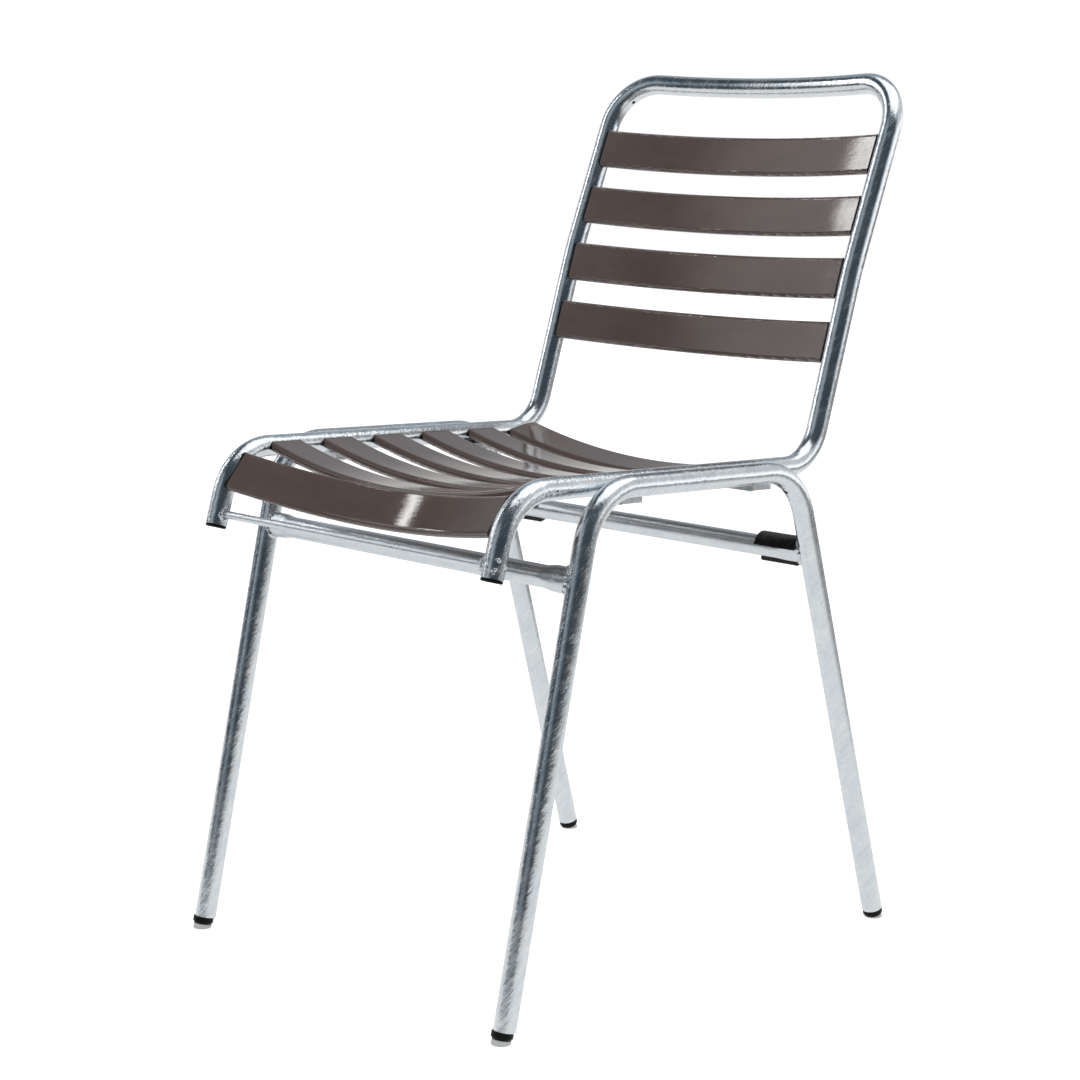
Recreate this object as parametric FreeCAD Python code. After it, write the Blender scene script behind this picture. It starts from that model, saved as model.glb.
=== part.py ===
import FreeCAD, Part
import math
import os

# A metal bistro chair: bent galvanised tubes with bowed brown slats.
# Millimetres, +Z up. The chair faces -Y, and +X is the sitter's left.
# Heights are above the floor. Depths run back from the corner where the
# seat rails would meet the lines of the tube's front ends.

Vec = FreeCAD.Vector

# Tubes and the play between pieces
tube_d = 20.0
tube_wall = 1.5
weld_gap = 0.1              # what a coped or seated steel piece keeps off the tube
plastic_gap = 0.3           # what a plastic piece keeps off the tube

# Seat and back frame, on the tube's centre line
frame_half_width = 181.5
front_end_height = 394.7    # the open ends of the tube
front_end_lean = 15.0       # degrees, forward at the bottom
rail_front_height = 464.8
rail_length = 402.0
rail_drop = 5.5             # how much lower the rail is at the back
lower_back_lean = 16.2      # degrees from upright
upper_back_lean = 20.8
back_bend_height = 644.8
back_top_height = 822.3
front_bend_r = 55.0
rear_bend_r = 46.0
back_bend_r = 465.0
top_bend_r = 50.0
top_rail_bow = 10.0
frame_drain_d = 4.0

# Leg frames
rail_gap = 1.5              # between the seat rail and the leg rail beside it
front_leg_depth = 77.5      # where the front leg's line meets the rail
rear_leg_depth = 354.0
front_foot_depth = -13.8
rear_foot_depth = 506.4
rear_foot_splay = 6.0
leg_front_bend_r = 58.0
leg_rear_bend_r = 62.0
leg_drain_d = 5.0

# Cross tubes and the front tie rod
front_cross_height = 386.0
rear_cross_height = 379.7
pressed_length = 28.0       # how far a pressed end reaches from the leg
pressed_blend = 14.0        # the part of it that turns from round to oval
pressed_squeeze = 4.5       # how much narrower than the tube
pressed_spread = 3.5        # how much taller than the tube
tie_rod_d = 7.5
tie_rod_rise = 10.0         # above the open ends of the frame tube

# Slats
slat_width = 40.0
slat_thick = 8.5
slat_edge_flat = 0.6        # what the rounding leaves flat on half an edge
slat_wall = 1.6
slat_end_slope = 20.0       # degrees, the ends are cut under
seat_slat_count = 7
seat_slat_first = 52.4      # along the bent tube, from its open end
seat_slat_rear_clear = 16.6     # from the rear slat's middle to the rear corner
seat_slat_rear_shift = 4.5      # how much nearer the rear slat stands than the others' pitch
seat_slat_offset = 0.0      # from the tube's axis to the slat's middle plane
seat_slat_sag = 23.5
seat_slat_end_gap = 1.0     # between the slanted end and the tube
back_slat_count = 4
back_slat_first_share = 0.3853  # lowest slat's place, as a share of the way up to the top slat
back_slat_top_clear = 77.0  # from the top slat's middle to the top corner
back_slat_offset = 3.2
back_slat_bow = 15.0
back_slat_end_gap = 0.5

# End plugs of the slats, and the lugs in them
plug_length = 24.0
plug_flange = 2.4
plug_gap = 0.2
plug_skin = 1.0             # plastic on each face of the lug
lug_width = 16.0
lug_length = 20.0

# Brackets under the rails, and their screws
front_bracket_clear = 58.0  # behind the front leg's corner
rear_bracket_clear = 40.0   # ahead of the rear leg's corner
bracket_length = 36.0
bracket_thick = 6.5
bracket_inner_reach = 11.5  # from the seat rail's axis towards the middle
bracket_chamfer = 5.0
bracket_rib_width = 7.5
bracket_rib_height = 5.0
bracket_drain_d = 5.0
screw_d = 5.0
screw_play = 0.15
screw_head_d = 9.5
screw_head_height = 3.0
screw_socket_d = 3.4
screw_socket_depth = 1.6
screw_reach = 9.5           # into the seat rail

# Stacking bumpers on the rear cross tube
bumper_end_gap = 3.0        # between the bumper and the leg
bumper_thick = 4.1
bumper_start = 10.0         # degrees above the front
bumper_sweep = 260.0
bumper_rib_count = 14
bumper_rib_pitch = 3.0
bumper_groove_depth = 0.9
bumper_end_chamfer = 1.6

# Feet and front end plugs
pad_height = 3.0            # on the leg's axis
pad_step = 1.5              # how much the pad's edge stands inside the tube's
pad_spigot_d = 8.0
pad_spigot_length = 3.0
collar_height = 7.0
collar_step = 0.3
collar_chamfer = 2.0
front_collar_shift = 2.0    # the front collars and pads stand this far forward of the leg
stem_length = 22.0
stem_barb_depth = 0.6
stem_barb_count = 3
front_plug_height = 2.8
front_plug_chamfer = 0.9

# Values worked out from the sizes above
tube_r = tube_d / 2
bore_r = tube_r - tube_wall
rail_spacing = tube_d + rail_gap
leg_half_width = frame_half_width + rail_spacing
rail_tilt = math.atan(rail_drop / rail_length)
front_bracket_depth = front_leg_depth + front_bracket_clear
rear_bracket_depth = rear_leg_depth - rear_bracket_clear
slat_edge_r = slat_thick / 2 - slat_edge_flat
cavity_width = slat_width - 2 * slat_wall
cavity_thick = slat_thick - 2 * slat_wall
lug_thick = cavity_thick - 4 * plug_gap - 2 * plug_skin
ORIGIN = Vec(0, 0, 0)
LEFT = Vec(1, 0, 0)
BACK = Vec(0, 1, 0)
UP = Vec(0, 0, 1)


# Directions and small helpers

def lean(angle_deg):
    """Unit vector in the side plane that leans back from upright."""
    angle = math.radians(angle_deg)
    return Vec(0, math.sin(angle), math.cos(angle))


def unit(v):
    return Vec(v).normalize()


def rail_height(depth):
    return rail_front_height - depth * math.tan(rail_tilt)


def rail_normal():
    return Vec(0, math.sin(rail_tilt), math.cos(rail_tilt))


def placement(at, x_way, y_way, z_way):
    matrix = FreeCAD.Matrix(x_way.x, y_way.x, z_way.x, at.x,
                            x_way.y, y_way.y, z_way.y, at.y,
                            x_way.z, y_way.z, z_way.z, at.z,
                            0, 0, 0, 1)
    return FreeCAD.Placement(matrix)


def peg(start, direction, diameter, length):
    return Part.makeCylinder(diameter / 2, length, start, direction)


def mirrored(shape):
    """The same shape on the other side of the chair."""
    return shape.mirror(ORIGIN, LEFT)


def both_sides(shapes):
    return shapes + [mirrored(shape) for shape in shapes]


def joined(shapes):
    """One solid out of pieces that meet end to end."""
    return shapes[0].fuse(shapes[1:]).removeSplitter().Solids[0]


def prism(points, way):
    """A flat outline pushed along a vector."""
    return Part.Face(Part.makePolygon(points + points[:1])).extrude(way)


def turned(outline, at, up):
    """Radius and height pairs turned round an axis."""
    points = [Vec(r, 0, z) for r, z in outline]
    body = Part.Face(Part.makePolygon(points + points[:1])).revolve(ORIGIN, UP, 360)
    body.Placement = FreeCAD.Placement(at, FreeCAD.Rotation(UP, up))
    return body


# Tube runs and bends

def disc(at, direction, radius):
    return Part.Face(Part.Wire(Part.makeCircle(radius, at, direction)))


def bend_at(before, corner, after, radius):
    """Start, end, centre, axis and angle of the bend that rounds a corner."""
    u = unit(before - corner)
    w = unit(after - corner)
    half = u.getAngle(w) / 2
    set_back = radius / math.tan(half)
    centre = corner + unit(u + w) * (radius / math.sin(half))
    start = corner + u * set_back
    end = corner + w * set_back
    axis = unit((start - centre).cross(end - centre))
    return start, end, centre, axis, 180 - 2 * math.degrees(half)


def bends_of(corners, radii):
    return [bend_at(corners[i], corners[i + 1], corners[i + 2], radius)
            for i, radius in enumerate(radii)]


def rod_runs(corners, radii, r):
    """Straight and bent lengths of a round rod, end to end."""
    runs = []
    here = corners[0]
    for start, end, centre, axis, angle in bends_of(corners, radii):
        way = start - here
        runs.append(disc(here, unit(way), r).extrude(way))
        runs.append(disc(start, unit(way), r).revolve(centre, axis, angle))
        here = end
    way = corners[-1] - here
    runs.append(disc(here, unit(way), r).extrude(way))
    return runs


# Seat and back frame

def leaning_run(start, height, lean_deg):
    """Where a leaning line from a point reaches a height."""
    up = lean(lean_deg)
    return start + up * ((height - start.z) / up.z)


def side_corners():
    """Corners of one side of the frame, in the plane x = 0."""
    front = Vec(0, 0, rail_front_height)
    rear = Vec(0, rail_length, rail_height(rail_length))
    bend = leaning_run(rear, back_bend_height, lower_back_lean)
    top = leaning_run(bend, back_top_height, upper_back_lean)
    return [leaning_run(front, front_end_height, front_end_lean), front, rear, bend, top]


side_path = side_corners()
side_radii = [front_bend_r, rear_bend_r, back_bend_r]
back_up = lean(upper_back_lean)
back_rear = back_up.cross(LEFT)


def top_bend():
    """Start, centre, way inward and bow angle of the frame's top left corner."""
    bow_angle = 2 * math.atan(top_rail_bow / (frame_half_width - top_bend_r))
    start = side_path[-1] - back_up * top_bend_r + LEFT * frame_half_width
    inward = LEFT * -math.cos(bow_angle) + back_rear * math.sin(bow_angle)
    return start, start + inward * top_bend_r, inward, bow_angle


def top_runs(r):
    """The two top corners and the bowed rail between them."""
    start, centre, inward, bow_angle = top_bend()
    corner = disc(start, back_up, r).revolve(centre, back_up.cross(inward), 90)
    rail_start = centre + back_up * top_bend_r
    bow_r = rail_start.x / math.sin(bow_angle)
    bow_centre = Vec(0, rail_start.y, rail_start.z) - back_rear * (bow_r * math.cos(bow_angle))
    bow = disc(rail_start, inward, r).revolve(bow_centre, back_up, 2 * math.degrees(bow_angle))
    return [corner, mirrored(corner), bow]


def side_rods(r):
    """The left side of the frame as a solid rod, up to the top corner."""
    corners = [p + LEFT * frame_half_width for p in side_path[:-1]] + [top_bend()[0]]
    return rod_runs(corners, side_radii, r)


def frame_rod(r):
    return joined(both_sides(side_rods(r)) + top_runs(r))


def seat_back_frame():
    _, centre, inward, _ = top_bend()
    drain = peg(centre, unit(back_up - inward), frame_drain_d, top_bend_r - bore_r / 2)
    holes = [drain]
    for place in screw_places():
        holes.append(peg(place, rail_normal(), screw_d + 2 * screw_play, screw_length()))
    return frame_rod(tube_r).cut([frame_rod(bore_r)] + both_sides(holes)).Solids[0]


# Leg frames

leg_radii = [leg_front_bend_r, leg_rear_bend_r]


def leg_corners():
    return [
        Vec(leg_half_width, front_foot_depth, 0),
        Vec(leg_half_width, front_leg_depth, rail_height(front_leg_depth)),
        Vec(leg_half_width, rear_leg_depth, rail_height(rear_leg_depth)),
        Vec(leg_half_width + rear_foot_splay, rear_foot_depth, 0),
    ]


def front_leg():
    """The floor point of the left front leg, and its direction up."""
    corners = leg_corners()
    return corners[0], unit(corners[1] - corners[0])


def rear_leg():
    corners = leg_corners()
    return corners[3], unit(corners[2] - corners[3])


def leg_point(leg, height):
    foot, up = leg
    return foot + up * (height / up.z)


def leg_rods(r):
    """The left leg frame as a solid rod, from collar to collar."""
    corners = leg_corners()
    for index, (foot, up) in ((0, front_leg()), (3, rear_leg())):
        corners[index] = foot + up * (pad_height + collar_height)
    return rod_runs(corners, leg_radii, r)


def leg_frame():
    corners = leg_corners()
    centre = bends_of(corners, leg_radii)[1][2]
    drain = peg(centre, unit(corners[2] - centre), leg_drain_d, leg_rear_bend_r - bore_r / 2)
    return joined(leg_rods(tube_r)).cut([joined(leg_rods(bore_r)), drain]).Solids[0]


# Cross tubes

def oval(at, tall_way, half_tall, half_narrow):
    """An oval outline square to the chair's width, tall along tall_way."""
    if half_tall > half_narrow:
        edge = Part.Ellipse(ORIGIN, half_tall, half_narrow).toShape()
    else:
        edge = Part.Circle(ORIGIN, UP, half_tall).toShape()
    edge.Placement = placement(at, tall_way, LEFT.cross(tall_way), LEFT)
    return Part.Wire(edge)


def pressed_rod(leg, height, r):
    """The cross tube as a solid rod, round in the middle and oval at its ends."""
    joint = leg_point(leg, height)
    up = leg[1]
    tall_way = unit(Vec(0, up.y, up.z))
    round_end = joint.x - tube_r - pressed_length
    sections = []
    for share in (0, 0.25, 0.5, 0.75, 1):
        swell = share * share * (3 - 2 * share)
        at = Vec(round_end + share * pressed_blend, joint.y, joint.z)
        tall = r + swell * pressed_spread / 2
        narrow = r - swell * pressed_squeeze / 2
        sections.append(oval(at, tall_way, tall, narrow))
    blend = Part.makeLoft(sections, True, True)
    end = Part.Face(sections[-1]).extrude(LEFT * (joint.x - round_end - pressed_blend))
    middle = Part.Face(sections[0]).extrude(LEFT * (-2 * round_end))
    return joined([middle] + both_sides([blend, end]))


def cross_tube(leg, height):
    whole = pressed_rod(leg, height, tube_r).cut(pressed_rod(leg, height, bore_r))
    post = peg(leg[0], leg[1], tube_d + 2 * weld_gap, 2 * height)
    return whole.cut([post, mirrored(post)]).Solids[0]


def front_tie_rod():
    up = lean(front_end_lean)
    end = side_path[0] + LEFT * frame_half_width
    left = end + up * (tie_rod_rise / up.z)
    rod = peg(Vec(-left.x, left.y, left.z), LEFT, tie_rod_d, 2 * left.x)
    post = peg(end, up, tube_d + 2 * weld_gap, 2 * tie_rod_rise / up.z)
    return rod.cut([post, mirrored(post)]).Solids[0]


# Brackets and screws

def screw_places():
    """Where the left screws' heads meet their brackets."""
    below = rail_normal() * (tube_r + weld_gap + bracket_thick)
    return [Vec(frame_half_width, depth, rail_height(depth)) - below
            for depth in (front_bracket_depth, rear_bracket_depth)]


def screw_length():
    return weld_gap + bracket_thick + screw_reach


def bracket(depth):
    """A plate under the rails, with a rib that nests between them."""
    rib_middle = rail_spacing / 2
    outer = rib_middle + bracket_rib_width / 2
    half = bracket_length / 2
    top = -(tube_r + weld_gap)
    plate = prism([
        Vec(-bracket_inner_reach, -half, top),
        Vec(outer - bracket_chamfer, -half, top),
        Vec(outer, bracket_chamfer - half, top),
        Vec(outer, half - bracket_chamfer, top),
        Vec(outer - bracket_chamfer, half, top),
        Vec(-bracket_inner_reach, half, top),
    ], UP * -bracket_thick)
    rib_length = bracket_length - 2 * bracket_chamfer
    rib_corner = Vec(outer - bracket_rib_width, -rib_length / 2, top)
    rib = Part.makeBox(bracket_rib_width, rib_length, bracket_rib_height, rib_corner)
    rails = [peg(Vec(x, -half, 0), BACK, tube_d + 2 * weld_gap, bracket_length)
             for x in (0, rail_spacing)]
    under = Vec(0, 0, top - bracket_thick)
    screw_hole = peg(under, UP, screw_d + 2 * screw_play, bracket_thick)
    drain = peg(under + LEFT * rib_middle, UP, bracket_drain_d, bracket_thick)
    whole = joined([plate, rib.cut(rails)]).cut([screw_hole, drain]).Solids[0]
    at = Vec(frame_half_width, depth, rail_height(depth))
    whole.Placement = placement(at, LEFT, rail_normal().cross(LEFT), rail_normal())
    return whole.cut(leg_rods(tube_r + weld_gap)).Solids[0]


def bracket_screw(place):
    """A round-headed screw with a hex socket, pointing up into the seat rail."""
    shank_r = screw_d / 2
    head_r = screw_head_d / 2
    rim = screw_head_height / 3
    dome_height = screw_head_height - rim
    mid_arc = math.sqrt(0.5)
    dome_middle = Vec(head_r * mid_arc, 0, -rim - dome_height * mid_arc)
    profile = [
        Part.makeLine(Vec(0, 0, screw_length()), Vec(shank_r, 0, screw_length())),
        Part.makeLine(Vec(shank_r, 0, screw_length()), Vec(shank_r, 0, 0)),
        Part.makeLine(Vec(shank_r, 0, 0), Vec(head_r, 0, 0)),
        Part.makeLine(Vec(head_r, 0, 0), Vec(head_r, 0, -rim)),
        Part.Arc(Vec(head_r, 0, -rim), dome_middle, Vec(0, 0, -screw_head_height)).toShape(),
        Part.makeLine(Vec(0, 0, -screw_head_height), Vec(0, 0, screw_length())),
    ]
    screw = Part.Face(Part.Wire(profile)).revolve(ORIGIN, UP, 360)
    corners = [Vec(math.cos(math.radians(60 * i)), math.sin(math.radians(60 * i)), 0)
               * (screw_socket_d / 2) - UP * screw_head_height for i in range(6)]
    screw = screw.cut(prism(corners, UP * screw_socket_depth)).Solids[0]
    screw.Placement = placement(place, LEFT, rail_normal().cross(LEFT), rail_normal())
    return screw


# Slats

def side_station(reach):
    """Point and tangent of the frame's side, in the plane x = 0, by length."""
    here = side_path[0]
    for (start, end, centre, axis, angle), radius in zip(bends_of(side_path, side_radii), side_radii):
        run = (start - here).Length
        if reach <= run:
            return here + unit(start - here) * reach, unit(start - here)
        reach -= run
        arc = math.radians(angle) * radius
        if reach <= arc:
            turn = FreeCAD.Rotation(axis, math.degrees(reach / radius))
            spoke = turn.multVec(start - centre)
            return centre + spoke, unit(axis.cross(spoke))
        reach -= arc
        here = end
    way = unit(side_path[-1] - here)
    return here + way * reach, way


def side_reach():
    """Length along the bent side up to the top corner's point."""
    reach = 0
    here = side_path[0]
    for (start, end, _, _, angle), radius in zip(bends_of(side_path, side_radii), side_radii):
        reach += (start - here).Length + math.radians(angle) * radius
        here = end
    return reach + (side_path[-1] - here).Length


def rear_corner_reach():
    """Length along the bent side to where the upright's line leaves the corner."""
    front, rear, _ = bends_of(side_path, side_radii)
    arcs = math.radians(front[4]) * front_bend_r + math.radians(rear[4]) * rear_bend_r
    runs = (front[0] - side_path[0]).Length + (rear[0] - front[1]).Length
    return runs + arcs - (rear[1] - side_path[2]).Length


def seat_stations():
    """Lengths along the bent tube to the middles of the seat slats."""
    rear = rear_corner_reach() - seat_slat_rear_clear
    others = seat_slat_count - 1
    pitch = (rear + seat_slat_rear_shift - seat_slat_first) / others
    return [seat_slat_first + i * pitch for i in range(others)] + [rear]


def back_stations():
    start = rear_corner_reach()
    top = side_reach() - back_slat_top_clear
    first = start + back_slat_first_share * (top - start)
    pitch = (top - first) / (back_slat_count - 1)
    return [first + i * pitch for i in range(back_slat_count)]


class SlatPlace:
    """Where one slat lies: its arc between the tubes, and its section."""

    def __init__(self, reach, sag, offset, end_gap):
        self.on_axis, self.along = side_station(reach)
        self.out = LEFT.cross(self.along)
        self.sag = sag
        self.offset = offset
        self.end_gap = end_gap
        half = frame_half_width - tube_r
        self.radius = (half ** 2 + sag ** 2) / (2 * sag)
        self.half_angle = math.degrees(math.asin(half / self.radius))
        self.low = self.on_axis + self.out * (offset - sag)
        self.centre = self.low + self.out * self.radius

    def point(self, u, v):
        """A point of the middle section: u along the tube, v towards the sitter."""
        return self.low + self.along * u + self.out * v

    def box_section(self, width, thick):
        a, b = width / 2, thick / 2
        corners = [self.point(a, b), self.point(-a, b), self.point(-a, -b), self.point(a, -b)]
        return Part.Face(Part.makePolygon(corners + corners[:1]))

    def round_section(self, width, thick, r):
        a, b = width / 2 - r, thick / 2 - r
        k = r * math.sqrt(0.5)
        edges = []
        last = self.point(a + r, -b)
        for su, sv in ((1, 1), (-1, 1), (-1, -1), (1, -1)):
            side = self.point(su * (a + r), sv * b)
            face = self.point(su * a, sv * (b + r))
            middle = self.point(su * (a + k), sv * (b + k))
            start, end = (side, face) if su == sv else (face, side)
            edges.append(Part.makeLine(last, start))
            edges.append(Part.Arc(start, middle, end).toShape())
            last = end
        return Part.Face(Part.Wire(edges))

    def swept(self, face, right_angle, left_angle):
        """A section swept along the arc, between two angles left of the middle."""
        turned_face = face.copy()
        turned_face.rotate(self.centre, self.along, -right_angle)
        return turned_face.revolve(self.centre, self.along, right_angle - left_angle)

    def between_ends(self, extra):
        """The room between the slanted end cuts, moved out by extra."""
        top = self.offset + slat_thick / 2
        angle = math.radians(slat_end_slope)
        slope = math.tan(angle)
        top_x = frame_half_width - (tube_r + self.end_gap) / math.cos(angle) + top * slope + extra
        high = top + slat_thick
        low = top - 3 * slat_thick - self.sag
        base = self.on_axis - self.along * slat_width
        high_x = top_x + (high - top) * slope
        low_x = top_x - (top - low) * slope
        corners = [base + LEFT * x + self.out * v for x, v in
                   ((-high_x, high), (high_x, high), (low_x, low), (-low_x, low))]
        return prism(corners, self.along * (2 * slat_width))

    def left_end(self):
        """The arc's left end, its way inward and the spoke away from the sitter."""
        turn = FreeCAD.Rotation(self.along, -self.half_angle)
        spoke = turn.multVec(self.low - self.centre)
        return self.centre + spoke, unit(self.along.cross(spoke)), unit(spoke)


def slat(place):
    """A hollow bowed profile with its ends cut under."""
    reach = place.half_angle + math.degrees(tube_r / place.radius)
    skin = place.swept(place.round_section(slat_width, slat_thick, slat_edge_r), -reach, reach)
    cavity = place.swept(place.box_section(cavity_width, cavity_thick), -reach, reach)
    return skin.common(place.between_ends(0)).cut(cavity).Solids[0]


def lug_bar(place, play):
    """The left lug's flat bar, from inside the tube to inside the slat."""
    end, inward, away = place.left_end()
    width = lug_width + 2 * play
    thick = lug_thick + 2 * play
    bar = Part.makeBox(tube_r + lug_length + play, width, thick)
    corner = end - inward * tube_r - place.along * (width / 2) - away * (thick / 2)
    bar.Placement = placement(corner, inward, place.along, away)
    return bar


def slat_lug(place, side_tube):
    return lug_bar(place, 0).cut(side_tube).Solids[0]


def slat_plug(place, side_tube):
    """A black plug: its flange fills the end cut, its block fills the slat's end."""
    outside = place.half_angle + math.degrees(tube_r / place.radius)
    inside = place.half_angle - math.degrees(plug_length / place.radius)
    cover = place.round_section(slat_width, slat_thick, slat_edge_r)
    flange = place.swept(cover, inside, outside).cut(place.between_ends(0))
    core = place.box_section(cavity_width - 2 * plug_gap, cavity_thick - 2 * plug_gap)
    block = place.swept(core, inside, outside)
    whole = joined([flange, block]).common(place.between_ends(plug_flange))
    return whole.cut(side_tube + [lug_bar(place, plug_gap)]).Solids[0]


# Stacking bumpers

def bumper(leg, height):
    """A ribbed clip round the rear cross tube, open towards the front below."""
    joint = leg_point(leg, height)
    length = bumper_rib_count * bumper_rib_pitch + 2 * bumper_end_chamfer
    start = joint.x - tube_r - bumper_end_gap - length
    end = start + length
    crest = tube_r + plastic_gap + bumper_thick
    groove = crest - bumper_groove_depth
    outline = [(start, 0), (start, crest - bumper_end_chamfer), (start + bumper_end_chamfer, crest)]
    for i in range(1, bumper_rib_count):
        middle = start + bumper_end_chamfer + i * bumper_rib_pitch
        outline += [(middle - bumper_groove_depth, crest), (middle, groove),
                    (middle + bumper_groove_depth, crest)]
    outline += [(end - bumper_end_chamfer, crest), (end, crest - bumper_end_chamfer), (end, 0)]
    lift = math.radians(bumper_start)
    spoke = Vec(0, -math.cos(lift), math.sin(lift))
    axis_point = Vec(0, joint.y, joint.z)
    points = [axis_point + LEFT * x + spoke * r for x, r in outline]
    face = Part.Face(Part.makePolygon(points + points[:1]))
    clip = face.revolve(axis_point, LEFT * -1, bumper_sweep)
    return clip.cut(pressed_rod(leg, height, tube_r + plastic_gap)).Solids[0]


# Feet and front end plugs

def stem_outline(root):
    """Radius and height pairs up a barbed stem that starts at a height."""
    r = bore_r - plug_gap
    waist = r - stem_barb_depth
    step = stem_length / (stem_barb_count + 1)
    points = [(r, root)]
    for i in range(stem_barb_count):
        barb = root + (i + 1) * step
        points += [(r, barb), (waist, barb), (waist, barb + step / 2), (r, barb + step / 2)]
    points += [(waist, root + stem_length), (0, root + stem_length)]
    return points


def foot_insert(leg, shift):
    """A black insert: a chamfered collar under the tube and a barbed stem in it."""
    foot, up = leg
    r = tube_r - collar_step
    top = pad_height + collar_height - plastic_gap
    socket_r = pad_spigot_d / 2 + plug_gap
    socket_top = pad_height + pad_spigot_length + plug_gap
    outline = [(0, socket_top), (socket_r, socket_top), (socket_r, pad_height),
               (r - collar_chamfer, pad_height), (r, pad_height + collar_chamfer), (r, top), (0, top)]
    collar = turned(outline, foot + LEFT.cross(up) * shift, up)
    stem = turned([(0, top)] + stem_outline(top), foot, up)
    return joined([collar, stem])


def foot_glide(leg, shift):
    """A pale pad under the insert, cut flat on the floor, with a spigot."""
    foot, up = leg
    r = tube_r - pad_step
    spigot_r = pad_spigot_d / 2
    outline = [(0, -r), (r, -r), (r, pad_height), (spigot_r, pad_height),
               (spigot_r, pad_height + pad_spigot_length), (0, pad_height + pad_spigot_length)]
    pad = turned(outline, foot + LEFT.cross(up) * shift, up)
    room = 4 * tube_d
    below = Part.makeBox(room, room, room, foot - Vec(room / 2, room / 2, room))
    return pad.cut(below).Solids[0]


def front_end_plug():
    """A thin black head under the frame's open end, with a barbed stem in it."""
    up = lean(front_end_lean)
    end = side_path[0] + LEFT * frame_half_width - up * plastic_gap
    r = tube_r - collar_step
    outline = [(0, -front_plug_height), (r - front_plug_chamfer, -front_plug_height),
               (r, front_plug_chamfer - front_plug_height), (r, 0)]
    return turned(outline + stem_outline(0), end, up)


# The whole chair

def node_shapes():
    """Every sub-part by its name, as a list of solids."""
    nodes = {}

    def pair(name, shape):
        nodes[name + "_left"] = [shape]
        nodes[name + "_right"] = [mirrored(shape)]

    nodes["seat_back_frame"] = [seat_back_frame()]
    nodes["front_tie_rod"] = [front_tie_rod()]
    nodes["front_cross_tube"] = [cross_tube(front_leg(), front_cross_height)]
    nodes["rear_cross_tube"] = [cross_tube(rear_leg(), rear_cross_height)]
    pair("leg_frame", leg_frame())
    pair("front_end_plug", front_end_plug())
    pair("frame_bracket_front", bracket(front_bracket_depth))
    pair("frame_bracket_rear", bracket(rear_bracket_depth))
    pair("stacking_bumper", bumper(rear_leg(), rear_cross_height))
    pair("foot_insert_front", foot_insert(front_leg(), front_collar_shift))
    pair("foot_insert_rear", foot_insert(rear_leg(), 0))
    pair("foot_glide_front", foot_glide(front_leg(), front_collar_shift))
    pair("foot_glide_rear", foot_glide(rear_leg(), 0))
    nodes["bracket_screws"] = both_sides([bracket_screw(place) for place in screw_places()])

    seat_places = [SlatPlace(reach, seat_slat_sag, seat_slat_offset, seat_slat_end_gap)
                   for reach in seat_stations()]
    back_places = [SlatPlace(reach, back_slat_bow, back_slat_offset, back_slat_end_gap)
                   for reach in back_stations()]
    lug_cope = side_rods(tube_r + weld_gap)
    plug_cope = side_rods(tube_r + plastic_gap)
    for group, places in (("seat", seat_places), ("back", back_places)):
        for number, place in enumerate(places, 1):
            nodes["%s_slat_%d" % (group, number)] = [slat(place)]
        lugs = [slat_lug(place, lug_cope) for place in places]
        plugs = [slat_plug(place, plug_cope) for place in places]
        nodes[group + "_slat_lugs"] = both_sides(lugs)
        nodes[group + "_slat_end_plugs"] = both_sides(plugs)
    return nodes


def middle_depth(nodes):
    """The depth halfway between the chair's foremost and rearmost points."""
    ends = Part.makeCompound(nodes["seat_back_frame"] + nodes["front_end_plug_left"])
    box = ends.optimalBoundingBox(False, False)
    return (box.YMin + box.YMax) / 2


os.makedirs("parts", exist_ok=True)
all_nodes = node_shapes()
centring = BACK * -middle_depth(all_nodes)
for node, solids in all_nodes.items():
    shape = solids[0] if len(solids) == 1 else Part.makeCompound(solids)
    shape.translate(centring)
    shape.exportStep("parts/%s.step" % node)
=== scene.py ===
import math

import bpy
from mathutils import Matrix, Quaternion, Vector, noise


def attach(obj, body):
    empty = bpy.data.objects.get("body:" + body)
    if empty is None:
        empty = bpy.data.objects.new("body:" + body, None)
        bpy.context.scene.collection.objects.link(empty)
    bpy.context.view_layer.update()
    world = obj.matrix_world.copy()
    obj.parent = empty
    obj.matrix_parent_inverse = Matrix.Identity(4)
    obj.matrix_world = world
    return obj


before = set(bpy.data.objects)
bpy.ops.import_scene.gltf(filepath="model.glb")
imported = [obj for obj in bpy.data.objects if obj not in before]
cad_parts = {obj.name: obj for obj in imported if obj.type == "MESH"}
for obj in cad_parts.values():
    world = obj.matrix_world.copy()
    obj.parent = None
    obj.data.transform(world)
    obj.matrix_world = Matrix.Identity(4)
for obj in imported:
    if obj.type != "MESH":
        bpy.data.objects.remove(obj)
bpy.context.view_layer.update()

# Places in metres, in the chair's own frame: +Z up, facing -Y, +X the sitter's left
CAMERA_PLACE = Vector((1.5109, -1.6137, 0.7283))
CAMERA_YAW = math.radians(43.722)
CAMERA_PITCH = math.radians(-9.05)
CAMERA_ROLL = math.radians(1.63)
CAMERA_FOCAL_PX = 2326.8
PICTURE_PX = 1080
SENSOR_MM = 36.0

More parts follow.
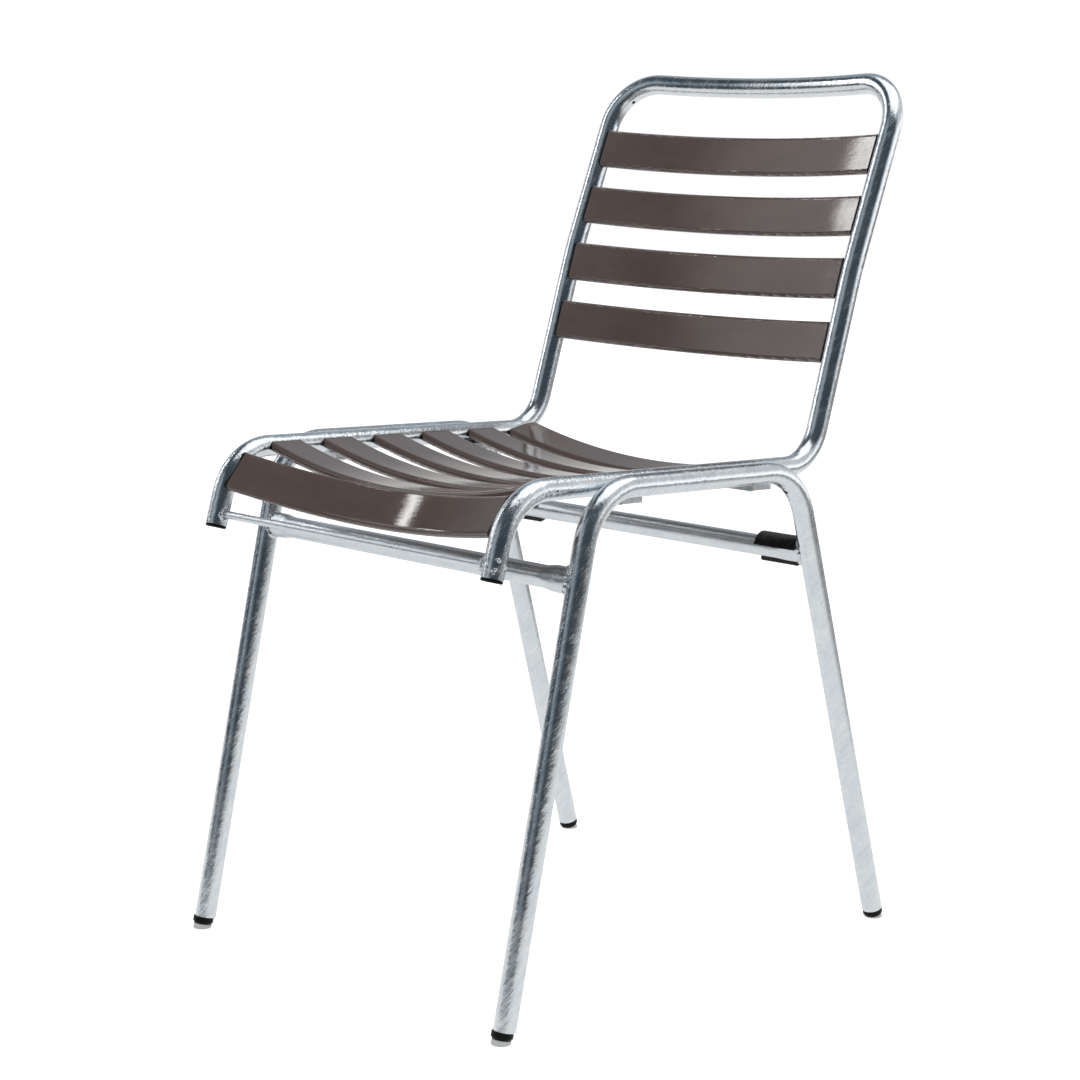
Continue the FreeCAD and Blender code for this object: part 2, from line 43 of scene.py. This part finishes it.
# The studio's levels are shares of white
DARK_ROOM = 0.075                   # the room in front, as gloss sees it
DARK_TINT = (0.58, 0.80, 1.0)
SOFT_LEVEL = 0.7                    # what lights matt surfaces
CAMERA_GLOW = 0.6                   # lifts the floor to white for the camera
PAPER_LEVEL = 0.92
PAPER_MIDDLE = (-3.0, 3.0, 0.0)     # the white paper's middle lies behind the chair
PAPER_REACH = 5.0
PAPER_FADE = 0.6
SIDE_PAPER_WAY = (0.72, 0.69, 0.0)  # a second sheet lies on the right of the chair
SIDE_PAPER_START = 0.02
SIDE_PAPER_EDGE = 0.1
SIDE_PAPER_REACH = 1.9
SIDE_PAPER_FADE = 0.8
FAR_SIDE_START, FAR_SIDE_END = 0.9, 1.8     # the floor is darker far on the right
FAR_SIDE_LEVEL = 0.36
SKY_LOW, SKY_HIGH = 0.05, 0.34      # the studio is darker higher up
SKY_LEVEL = 0.42
WHITE_ROOM = 0.7                    # from this level on a patch has no tint
STUDIO_PATCHES = [
    # direction, angle where it ends, angle where it is full, level
    ((-0.69, 0.72, 0.02), 64, 46, 1.0),     # backdrop
    ((-0.786, -0.491, 0.375), 20, 6, 2.6),  # pale card on the left
    ((0.02, -1.00, 0.10), 30, 12, 0.26),    # grey wall in front
    ((-0.15, -0.88, 0.45), 26, 10, 1.0),    # pale ceiling in front
    ((0.50, 0.70, 0.50), 52, 26, 1.6),      # pale wall on the right
]

SOFTBOXES = [
    # name, place, target, width, height, watts, roll in degrees
    ("softbox_left", (-1.74, -0.74, 1.55), (0.1, 0.2, 0.65), 0.07, 1.3, 3.2, 15),
    ("softbox_top", (0.4, 0.3, 2.6), (0, 0, 0.5), 2.4, 2.4, 24, 0),
]
FLOOR_HALF = 14.0
FLOOR_BELOW = -0.0005
FLOOR_GREY = 0.9

# Noise values mostly lie inside these bands
WIDE_BAND = (0.3, 0.7)
NARROW_BAND = (0.35, 0.65)

# Galvanised steel
ZINC_DARK = (0.58, 0.63, 0.67)
ZINC_LIGHT = (0.82, 0.85, 0.87)
CLOUD_SCALE, CLOUD_DEPTH, CLOUD_STRENGTH = 40, 0.0012, 0.3
SPECKLE_SCALE, SPECKLE_DEPTH, SPECKLE_STRENGTH = 700, 0.0002, 0.10
SCRATCH_SCALE, SCRATCH_DEPTH, SCRATCH_STRENGTH = 1100, 0.0002, 0.35
STROKE_STRENGTH = 0.5
STROKE_STRETCH = 0.14
SCRATCH_STRETCH = 0.04
MARK_SCRATCHES = (0.56, 0.66)
MARK_STROKES = (0.48, 0.60)
MARK_ROUGHNESS = 0.30
SMOOTHER_FROM, SMOOTHER_TO = -0.05, 0.12    # along Y, towards the rear
SMOOTHER_LEVEL = 0.4

# Brown slats
SLAT_DARK = (0.088, 0.063, 0.056)
SLAT_LIGHT = (0.108, 0.079, 0.071)
SLAT_IOR = 1.52
SLAT_LINE_SCALE, SLAT_LINE_DEPTH, SLAT_LINE_STRENGTH = 700, 0.0002, 0.15
SLAT_WAVE_SCALE, SLAT_WAVE_DEPTH, SLAT_WAVE_STRENGTH = 16, 0.003, 0.25
SLAT_CAST_SCALE = 30

# Moulded plastic and weld metal
GRAIN_SCALE, GRAIN_DEPTH, GRAIN_STRENGTH = 2600, 0.0002, 0.3
PATCH_SCALE = 140
WELD_DARK = (0.5, 0.53, 0.56)
WELD_LIGHT = (0.86, 0.88, 0.9)
WELD_SCALE, WELD_DEPTH, WELD_STRENGTH = 300, 0.001, 0.5

# Small things on the tubes, by where the photo shows them
# The pinhole is drawn as a black disc, painted shade for the dark inside of the hole
PINHOLE_PX = (557.6, 491.0)
PINHOLE_R = 0.0009
PINHOLE_SIDES = 20
PINHOLE_MIDDLE_LIFT = 0.00006
PINHOLE_RINGS = [(0.85, 0.00008), (1.15, 0.00001)]   # share of the radius, lift off the tube
ZINC_DROPS_PX = [(484.5, 561.0), (497.0, 560.0), (504.5, 567.5), (493.0, 571.0), (487.0, 569.0)]
ZINC_DROP_R = 0.0031
DROP_RINGS, DROP_SIDES = 7, 14
DROP_TOP, DROP_HEIGHT, DROP_SINK = 0.26, 0.36, 0.1   # shares of its radius
DROP_LUMPS, DROP_LUMP_SCALE = 1.1, 330

# Welds
TIE_ROD_PLACE = Vector((0.1716, -0.2767, 0.4047))
TIE_ROD_WELD_R = 0.0046
BEAD_R = 0.0021
BEAD_STEPS, BEAD_SIDES = 96, 10
BEAD_RIPPLES, BEAD_RIPPLE_DEPTH = 14, 0.12
BEAD_LUMPS, BEAD_LUMP_SCALE = 0.55, 260
TIE_ROD_BEAD_SHARE, TIE_ROD_BEAD_LUMPS = 1.1, 0.8
RING_STEPS = 36
OUTLINE_STEPS = 72
OUTLINE_DEPTH = 0.012       # how far back from a tube's end its outline is looked for
OUTLINE_SLACK = 0.0006
OUTLINE_STEP = 0.0004


# Node helpers

def add(tree, kind, inputs=None, **settings):
    """A node with its settings and plain input values."""
    node = tree.nodes.new(kind)
    for name, value in settings.items():
        setattr(node, name, value)
    for name, value in (inputs or {}).items():
        node.inputs[name].default_value = value
    return node


def new_material(name):
    material = bpy.data.materials.new(name)
    material.use_nodes = True
    tree = material.node_tree
    return material, tree, tree.nodes["Principled BSDF"]


def object_coords(tree, scale=(1, 1, 1), rotation=(0, 0, 0)):
    """Object coordinates, turned and then stretched."""
    coords = add(tree, "ShaderNodeTexCoord")
    turn = add(tree, "ShaderNodeMapping", {"Rotation": rotation})
    stretch = add(tree, "ShaderNodeMapping", {"Scale": scale})
    tree.links.new(coords.outputs["Object"], turn.inputs["Vector"])
    tree.links.new(turn.outputs["Vector"], stretch.inputs["Vector"])
    return stretch.outputs["Vector"]


def noise_value(tree, vector, scale, detail=4.0, rough=0.6):
    node = add(tree, "ShaderNodeTexNoise", {"Scale": scale, "Detail": detail, "Roughness": rough})
    tree.links.new(vector, node.inputs["Vector"])
    return node.outputs["Fac"]


def spread(tree, value, low, high, to_low, to_high):
    """Maps a value from one range to another, clamped."""
    node = add(tree, "ShaderNodeMapRange", {"From Min": low, "From Max": high,
                                            "To Min": to_low, "To Max": to_high})
    tree.links.new(value, node.inputs["Value"])
    return node.outputs["Result"]


def combine(tree, operation, a, b):
    node = add(tree, "ShaderNodeMath", operation=operation)
    for socket, value in zip(node.inputs, (a, b)):
        if isinstance(value, (int, float)):
            socket.default_value = value
        else:
            tree.links.new(value, socket)
    return node.outputs["Value"]


def blend_colours(tree, factor, dark, light):
    node = add(tree, "ShaderNodeMix", data_type="RGBA")
    node.inputs["A"].default_value = (*dark, 1)
    node.inputs["B"].default_value = (*light, 1)
    tree.links.new(factor, node.inputs["Factor"])
    return node.outputs["Result"]


def bump(tree, height, distance, strength, below=None):
    node = add(tree, "ShaderNodeBump", {"Distance": distance})
    if isinstance(strength, (int, float)):
        node.inputs["Strength"].default_value = strength
    else:
        tree.links.new(strength, node.inputs["Strength"])
    tree.links.new(height, node.inputs["Height"])
    if below is not None:
        tree.links.new(below, node.inputs["Normal"])
    return node.outputs["Normal"]


# Materials

def slant_turn(way):
    """The rotation that lays a direction on the texture's own Z axis."""
    return Vector(way).rotation_difference(Vector((0, 0, 1))).to_euler()


def rear_fade(tree):
    """1 on the front of the chair, less towards the rear, where the tubes are smoother."""
    place = add(tree, "ShaderNodeNewGeometry")
    parts = add(tree, "ShaderNodeSeparateXYZ")
    tree.links.new(place.outputs["Position"], parts.inputs["Vector"])
    return spread(tree, parts.outputs["Y"], SMOOTHER_FROM, SMOOTHER_TO, 1.0, SMOOTHER_LEVEL)


def galvanised_steel(name, streak_way, mark_size, low_rough, high_rough, depth):
    """Hot-dip zinc: soft clouds, faint speckle, and slanting marks and scratches."""
    material, tree, shader = new_material(name)
    plain = object_coords(tree)
    turn = slant_turn(streak_way)
    brushed = object_coords(tree, scale=(1, 1, STROKE_STRETCH), rotation=turn)
    scored = object_coords(tree, scale=(1, 1, SCRATCH_STRETCH), rotation=turn)

    clouds = noise_value(tree, plain, CLOUD_SCALE, 3)
    speckle = noise_value(tree, plain, SPECKLE_SCALE, 3)
    strokes = noise_value(tree, brushed, mark_size, 3)
    scratches = noise_value(tree, scored, SCRATCH_SCALE, 2)
    marks = combine(tree, "MULTIPLY", spread(tree, scratches, *MARK_SCRATCHES, 0, 1),
                    spread(tree, strokes, *MARK_STROKES, 0, 1))

    tone = combine(tree, "ADD", spread(tree, clouds, *WIDE_BAND, 0, 0.4),
                   spread(tree, strokes, *NARROW_BAND, 0, 0.4))
    tone = combine(tree, "ADD", tone, spread(tree, speckle, *NARROW_BAND, 0, 0.2))
    tree.links.new(blend_colours(tree, tone, ZINC_DARK, ZINC_LIGHT), shader.inputs["Base Color"])
    rough = combine(tree, "ADD", spread(tree, clouds, *WIDE_BAND, low_rough, high_rough),
                    combine(tree, "MULTIPLY", marks, MARK_ROUGHNESS))
    tree.links.new(rough, shader.inputs["Roughness"])
    shader.inputs["Metallic"].default_value = 1.0

    fade = rear_fade(tree)
    normal = bump(tree, clouds, CLOUD_DEPTH, combine(tree, "MULTIPLY", fade, CLOUD_STRENGTH))
    normal = bump(tree, strokes, depth, combine(tree, "MULTIPLY", fade, STROKE_STRENGTH), normal)
    normal = bump(tree, speckle, SPECKLE_DEPTH, SPECKLE_STRENGTH, normal)
    normal = bump(tree, scratches, SCRATCH_DEPTH, combine(tree, "MULTIPLY", fade, SCRATCH_STRENGTH), normal)
    tree.links.new(normal, shader.inputs["Normal"])
    return material


def brown_plastic():
    """Glossy grey-brown extrusion, faintly lined along its length and slightly wavy."""
    material, tree, shader = new_material("brown_slat_plastic")
    lined = object_coords(tree, scale=(0.02, 1, 1))
    plain = object_coords(tree, scale=(0.5, 1, 1))
    lines = noise_value(tree, lined, SLAT_LINE_SCALE, 3)
    waves = noise_value(tree, plain, SLAT_WAVE_SCALE, 1)
    cast = noise_value(tree, plain, SLAT_CAST_SCALE, 4)
    colour = blend_colours(tree, spread(tree, cast, *WIDE_BAND, 0, 1), SLAT_DARK, SLAT_LIGHT)
    tree.links.new(colour, shader.inputs["Base Color"])
    tree.links.new(spread(tree, lines, *WIDE_BAND, 0.03, 0.07), shader.inputs["Roughness"])
    shader.inputs["IOR"].default_value = SLAT_IOR
    normal = bump(tree, waves, SLAT_WAVE_DEPTH, SLAT_WAVE_STRENGTH)
    normal = bump(tree, lines, SLAT_LINE_DEPTH, SLAT_LINE_STRENGTH, normal)
    tree.links.new(normal, shader.inputs["Normal"])
    return material


def moulded_plastic(name, dark, light, low_rough, high_rough, specular=0.5):
    """Satin moulded plastic with a fine spark-eroded grain."""
    material, tree, shader = new_material(name)
    plain = object_coords(tree)
    grain = noise_value(tree, plain, GRAIN_SCALE, 3)
    patches = noise_value(tree, plain, PATCH_SCALE, 4)
    tree.links.new(blend_colours(tree, patches, dark, light), shader.inputs["Base Color"])
    tree.links.new(spread(tree, patches, *WIDE_BAND, low_rough, high_rough), shader.inputs["Roughness"])
    shader.inputs["Specular IOR Level"].default_value = specular
    tree.links.new(bump(tree, grain, GRAIN_DEPTH, GRAIN_STRENGTH), shader.inputs["Normal"])
    return material


def weld_metal():
    """Bright rippled weld beads under zinc."""
    material, tree, shader = new_material("weld_metal")
    plain = object_coords(tree)
    patches = noise_value(tree, plain, WELD_SCALE, 4)
    tree.links.new(blend_colours(tree, patches, WELD_DARK, WELD_LIGHT), shader.inputs["Base Color"])
    tree.links.new(spread(tree, patches, *WIDE_BAND, 0.2, 0.45), shader.inputs["Roughness"])
    shader.inputs["Metallic"].default_value = 1.0
    tree.links.new(bump(tree, patches, WELD_DEPTH, WELD_STRENGTH), shader.inputs["Normal"])
    return material


steel_upright = galvanised_steel("galvanised_steel_upright", (0.45, 0.42, 0.79), 210, 0.15, 0.25, 0.0007)
steel_frame = galvanised_steel("galvanised_steel_frame", (0.35, 0.55, 0.76), 290, 0.14, 0.24, 0.0010)
steel_across = galvanised_steel("galvanised_steel_across", (0.98, 0.1, 0.18), 170, 0.26, 0.38, 0.0003)
brown = brown_plastic()
# Also used for the pinhole, where the black is painted shade
black = moulded_plastic("black_plastic", (0.003, 0.003, 0.003), (0.008, 0.008, 0.008), 0.3, 0.5, 0.12)
rubber = moulded_plastic("black_rubber", (0.003, 0.003, 0.003), (0.007, 0.007, 0.007), 0.22, 0.38, 0.4)
pale = moulded_plastic("pale_glide_plastic", (0.5, 0.52, 0.52), (0.62, 0.64, 0.63), 0.4, 0.55)
weld = weld_metal()


def material_of(node):
    if node.startswith("leg_frame"):
        return steel_upright
    if node in ("front_cross_tube", "rear_cross_tube", "front_tie_rod"):
        return steel_across
    if node.startswith(("seat_slat_end", "back_slat_end", "front_end_plug", "foot_insert")):
        return black
    if node.startswith("foot_glide"):
        return pale
    if node.startswith("stacking_bumper"):
        return rubber
    if node.endswith("_lugs") or node == "bracket_screws" or "bracket" in node:
        return steel_across
    if "slat" in node:
        return brown
    return steel_frame


for name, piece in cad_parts.items():
    piece.data.materials.clear()
    piece.data.materials.append(material_of(name))


# Welds, zinc drops and the pinhole's painted shade

def camera_axes():
    """The camera's right, up and ahead directions."""
    ahead = Vector((-math.sin(CAMERA_YAW) * math.cos(CAMERA_PITCH),
                    math.cos(CAMERA_YAW) * math.cos(CAMERA_PITCH), math.sin(CAMERA_PITCH)))
    level_right = Vector((math.cos(CAMERA_YAW), math.sin(CAMERA_YAW), 0))
    level_up = level_right.cross(ahead)
    right = level_right * math.cos(CAMERA_ROLL) + level_up * math.sin(CAMERA_ROLL)
    up = level_up * math.cos(CAMERA_ROLL) - level_right * math.sin(CAMERA_ROLL)
    return right, up, ahead


def surface_at(node, pixel):
    """The place and normal where the photo's pixel meets a node, in the frame."""
    right, up, ahead = camera_axes()
    middle = PICTURE_PX / 2
    ray = ahead + (right * (pixel[0] - middle) + up * (middle - pixel[1])) / CAMERA_FOCAL_PX
    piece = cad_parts[node]
    back = piece.matrix_world.inverted()
    hit, place, normal, _ = piece.ray_cast(back @ CAMERA_PLACE, (back.to_3x3() @ ray).normalized())
    if not hit:
        return None
    turn = piece.matrix_world.to_3x3()
    return piece.matrix_world @ place, (turn @ normal).normalized()


def add_piece(name, points, faces, material):
    mesh = bpy.data.meshes.new(name)
    mesh.from_pydata([tuple(p) for p in points], [], faces)
    for polygon in mesh.polygons:
        polygon.use_smooth = True
    mesh.materials.append(material)
    piece = bpy.data.objects.new(name, mesh)
    bpy.context.scene.collection.objects.link(piece)
    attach(piece, "root")


def ring(middle, across, other, radius, count):
    """A circle of points around a middle, from one direction towards another."""
    points = []
    for k in range(count):
        turn = 2 * math.pi * k / count
        points.append(middle + (across * math.cos(turn) + other * math.sin(turn)) * radius)
    return points


def band(first, second, count):
    """The faces between two rings of points, by their first numbers."""
    return [(first + j, second + j, second + (j + 1) % count, first + (j + 1) % count)
            for j in range(count)]


def evenly(loop, count):
    """A closed line of points, spaced evenly."""
    steps = [(loop[(i + 1) % len(loop)] - loop[i]).length for i in range(len(loop))]
    total = sum(steps)
    points = []
    i, gone = 0, 0.0
    for k in range(count):
        along = total * k / count
        while gone + steps[i] < along:
            gone += steps[i]
            i += 1
        share = (along - gone) / max(steps[i], 1e-9)
        points.append(loop[i].lerp(loop[(i + 1) % len(loop)], share))
    return points


def weld_bead(name, loop, radius, lumps=BEAD_LUMPS):
    """A rippled bead that follows a closed line."""
    line = evenly(loop, BEAD_STEPS)
    middle = sum(line, Vector()) / BEAD_STEPS
    points = []
    faces = []
    for k, place in enumerate(line):
        along = (line[(k + 1) % BEAD_STEPS] - line[k - 1]).normalized()
        outward = (place - middle) - along * (place - middle).dot(along)
        outward = outward.normalized()
        ripple = BEAD_RIPPLE_DEPTH * math.sin(k * 2 * math.pi * BEAD_RIPPLES / BEAD_STEPS)
        size = radius * (1 + ripple + lumps * noise.noise(place * BEAD_LUMP_SCALE))
        points += ring(place, outward, along.cross(outward), size, BEAD_SIDES)
        faces += band(k * BEAD_SIDES, ((k + 1) % BEAD_STEPS) * BEAD_SIDES, BEAD_SIDES)
    add_piece(name, points, faces, weld)


def end_outline(node, side):
    """The outer line of a cross tube's end, read from its own shape."""
    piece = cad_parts[node]
    places = [piece.matrix_world @ v.co for v in piece.data.vertices]
    end_x = max(p.x * side for p in places)
    near = [p for p in places if p.x * side > end_x - OUTLINE_DEPTH]
    mid_y = (max(p.y for p in near) + min(p.y for p in near)) / 2
    mid_z = (max(p.z for p in near) + min(p.z for p in near)) / 2
    loop = []
    for k in range(OUTLINE_STEPS):
        turn = 2 * math.pi * k / OUTLINE_STEPS
        reach = [((p.y - mid_y) * math.cos(turn) + (p.z - mid_z) * math.sin(turn), p) for p in near]
        far = max(r for r, p in reach)
        outer = [p for r, p in reach if r > far - OUTLINE_SLACK]
        place = max(outer, key=lambda p: p.x * side)
        if not loop or (place - loop[-1]).length > OUTLINE_STEP:
            loop.append(place.copy())
    return loop


def zinc_drop(name, place, normal, size):
    """A small lumpy drop of zinc, flattened onto the tube."""
    side = normal.orthogonal().normalized()
    other = normal.cross(side)
    points = [place + normal * size * DROP_TOP]
    for i in range(1, DROP_RINGS + 1):
        tilt = math.pi / 2 * i / DROP_RINGS
        for flat in ring(Vector(), side, other, 1.0, DROP_SIDES):
            lump = 1 + DROP_LUMPS * noise.noise((place + flat * size) * DROP_LUMP_SCALE)
            height = DROP_HEIGHT * math.cos(tilt) * lump - DROP_SINK
            points.append(place + (flat * math.sin(tilt) * lump + normal * height) * size)
    faces = [(0, 1 + j, 1 + (j + 1) % DROP_SIDES) for j in range(DROP_SIDES)]
    for i in range(DROP_RINGS - 1):
        faces += band(1 + i * DROP_SIDES, 1 + (i + 1) * DROP_SIDES, DROP_SIDES)
    add_piece(name, points, faces, weld)


def painted_pinhole_shade():
    """The small vent hole in the near seat rail, as a shallow black dimple on the zinc: painted shade for
    the dark inside of the hole.
    """
    found = surface_at("seat_back_frame", PINHOLE_PX)
    if found is None:
        return
    place, normal = found
    side = normal.orthogonal().normalized()
    other = normal.cross(side)
    points = [place + normal * PINHOLE_MIDDLE_LIFT]
    for share, lift in PINHOLE_RINGS:
        points += ring(place + normal * lift, side, other, PINHOLE_R * share, PINHOLE_SIDES)
    faces = [(0, 1 + j, 1 + (j + 1) % PINHOLE_SIDES) for j in range(PINHOLE_SIDES)]
    faces += band(1, 1 + PINHOLE_SIDES, PINHOLE_SIDES)
    # Painted shade: the black disc stands for the unlit inside of the vent hole
    add_piece("seat_tube_pinhole_painted_shade", points, faces, black)


def welds():
    """Beads around the tie rod's and the cross tubes' ends, and zinc drops on the near front end."""
    for side, word in ((1, "left"), (-1, "right")):
        middle = Vector((TIE_ROD_PLACE.x * side, TIE_ROD_PLACE.y, TIE_ROD_PLACE.z))
        rod_line = ring(middle, Vector((0, 1, 0)), Vector((0, 0, 1)), TIE_ROD_WELD_R, RING_STEPS)
        weld_bead("tie_rod_weld_" + word, rod_line, BEAD_R * TIE_ROD_BEAD_SHARE, TIE_ROD_BEAD_LUMPS)
        for node, end in (("front_cross_tube", "front"), ("rear_cross_tube", "rear")):
            weld_bead("%s_cross_weld_%s" % (end, word), end_outline(node, side), BEAD_R)
    for k, pixel in enumerate(ZINC_DROPS_PX):
        found = surface_at("seat_back_frame", pixel)
        if found is not None:
            zinc_drop("zinc_drop_%d" % (k + 1), found[0], found[1], ZINC_DROP_R * (1 - 0.1 * (k % 3)))


# Studio

def from_place(tree, place, operation, other):
    node = add(tree, "ShaderNodeVectorMath", operation=operation)
    node.inputs[1].default_value = other
    tree.links.new(place, node.inputs[0])
    return node.outputs["Value"]


def make_floor():
    """A pale floor that keeps the chair's shadow and looks white to the camera."""
    mesh = bpy.data.meshes.new("studio_floor")
    corners = [(x * FLOOR_HALF, y * FLOOR_HALF, FLOOR_BELOW)
               for x, y in ((-1, -1), (1, -1), (1, 1), (-1, 1))]
    mesh.from_pydata(corners, [], [(0, 1, 2, 3)])
    floor = bpy.data.objects.new("studio_floor", mesh)
    bpy.context.scene.collection.objects.link(floor)
    material, tree, shader = new_material("studio_floor")
    shader.inputs["Base Color"].default_value = (FLOOR_GREY, FLOOR_GREY, FLOOR_GREY, 1)
    shader.inputs["Roughness"].default_value = 0.9
    shader.inputs["Specular IOR Level"].default_value = 0.0

    place = add(tree, "ShaderNodeTexCoord").outputs["Object"]
    reach = from_place(tree, place, "DISTANCE", PAPER_MIDDLE)
    aside = from_place(tree, place, "DOT_PRODUCT", SIDE_PAPER_WAY)
    away = from_place(tree, place, "DISTANCE", (0, 0, 0))
    paper = spread(tree, reach, PAPER_REACH, PAPER_REACH + PAPER_FADE, PAPER_LEVEL, DARK_ROOM)
    side_edge = spread(tree, aside, SIDE_PAPER_START, SIDE_PAPER_START + SIDE_PAPER_EDGE, 0, PAPER_LEVEL)
    side_end = spread(tree, away, SIDE_PAPER_REACH, SIDE_PAPER_REACH + SIDE_PAPER_FADE, 1, 0)
    far_side = spread(tree, aside, FAR_SIDE_START, FAR_SIDE_END, 1.0, FAR_SIDE_LEVEL)
    paper = combine(tree, "MAXIMUM", paper, combine(tree, "MULTIPLY", side_edge, side_end))
    paper = combine(tree, "MINIMUM", paper, far_side)
    path = add(tree, "ShaderNodeLightPath")
    seen = combine(tree, "MULTIPLY", path.outputs["Is Camera Ray"], CAMERA_GLOW)
    glow_level = combine(tree, "ADD", seen, combine(tree, "MULTIPLY", path.outputs["Is Glossy Ray"], paper))
    glow = add(tree, "ShaderNodeEmission", {"Color": (1, 1, 1, 1)})
    tree.links.new(glow_level, glow.inputs["Strength"])
    both = add(tree, "ShaderNodeAddShader")
    tree.links.new(shader.outputs["BSDF"], both.inputs[0])
    tree.links.new(glow.outputs["Emission"], both.inputs[1])
    switch = add(tree, "ShaderNodeMixShader")
    tree.links.new(path.outputs["Is Glossy Ray"], switch.inputs["Fac"])
    tree.links.new(both.outputs["Shader"], switch.inputs[1])
    tree.links.new(glow.outputs["Emission"], switch.inputs[2])
    tree.links.new(switch.outputs["Shader"], tree.nodes["Material Output"].inputs["Surface"])
    mesh.materials.append(material)


def lobe(tree, direction, way, wide, narrow, level):
    """A soft round patch of the studio: full inside one angle, gone outside the other."""
    toward = from_place(tree, direction, "DOT_PRODUCT", Vector(way).normalized())
    node = add(tree, "ShaderNodeMapRange", {"From Min": math.cos(math.radians(wide)),
                                            "From Max": math.cos(math.radians(narrow)),
                                            "To Min": 0, "To Max": level},
               interpolation_type="SMOOTHSTEP")
    tree.links.new(toward, node.inputs["Value"])
    return node.outputs["Result"]


def make_world():
    """White to the camera. To gloss, a white backdrop behind and a dark bluish room in front."""
    world = bpy.data.worlds.new("studio")
    bpy.context.scene.world = world
    world.use_nodes = True
    tree = world.node_tree
    direction = add(tree, "ShaderNodeTexCoord").outputs["Generated"]
    parts = add(tree, "ShaderNodeSeparateXYZ")
    tree.links.new(direction, parts.inputs["Vector"])
    sky = spread(tree, parts.outputs["Z"], SKY_LOW, SKY_HIGH, 1.0, SKY_LEVEL)
    room = DARK_ROOM
    for way, wide, narrow, level in STUDIO_PATCHES:
        patch = combine(tree, "MULTIPLY", lobe(tree, direction, way, wide, narrow, level), sky)
        room = combine(tree, "MAXIMUM", patch, room)
    path = add(tree, "ShaderNodeLightPath")
    glossy = path.outputs["Is Glossy Ray"]
    gloss = combine(tree, "MULTIPLY", glossy, combine(tree, "SUBTRACT", 1.0, room))
    diffuse = combine(tree, "MULTIPLY", path.outputs["Is Diffuse Ray"], 1 - SOFT_LEVEL)
    level = combine(tree, "SUBTRACT", combine(tree, "SUBTRACT", 1.0, gloss), diffuse)
    plain = combine(tree, "MAXIMUM", combine(tree, "SUBTRACT", 1.0, glossy),
                    spread(tree, room, DARK_ROOM, WHITE_ROOM, 0, 1))
    background = tree.nodes["Background"]
    tree.links.new(blend_colours(tree, plain, DARK_TINT, (1, 1, 1)), background.inputs["Color"])
    tree.links.new(level, background.inputs["Strength"])


def softbox(name, place, target, width, height, watts, roll):
    light = bpy.data.lights.new(name, "AREA")
    light.shape = "RECTANGLE"
    light.size = width
    light.size_y = height
    light.energy = watts
    lamp = bpy.data.objects.new(name, light)
    lamp.location = place
    aim = (Vector(target) - Vector(place)).to_track_quat("-Z", "Y")
    lamp.rotation_euler = (aim @ Quaternion((0, 0, 1), math.radians(roll))).to_euler()
    bpy.context.scene.collection.objects.link(lamp)


def make_camera():
    data = bpy.data.cameras.new("photo_camera")
    data.sensor_fit = "HORIZONTAL"
    data.sensor_width = SENSOR_MM
    data.lens = CAMERA_FOCAL_PX * SENSOR_MM / PICTURE_PX
    data.clip_end = 100
    right, up, ahead = camera_axes()
    turn = Matrix((right, up, -ahead)).transposed().to_4x4()
    camera = bpy.data.objects.new("photo_camera", data)
    camera.matrix_world = Matrix.Translation(CAMERA_PLACE) @ turn
    bpy.context.scene.collection.objects.link(camera)
    bpy.context.scene.camera = camera


welds()
painted_pinhole_shade()
make_floor()
make_world()
for lamp_values in SOFTBOXES:
    softbox(*lamp_values)
make_camera()
bpy.context.scene.view_settings.view_transform = "Standard"
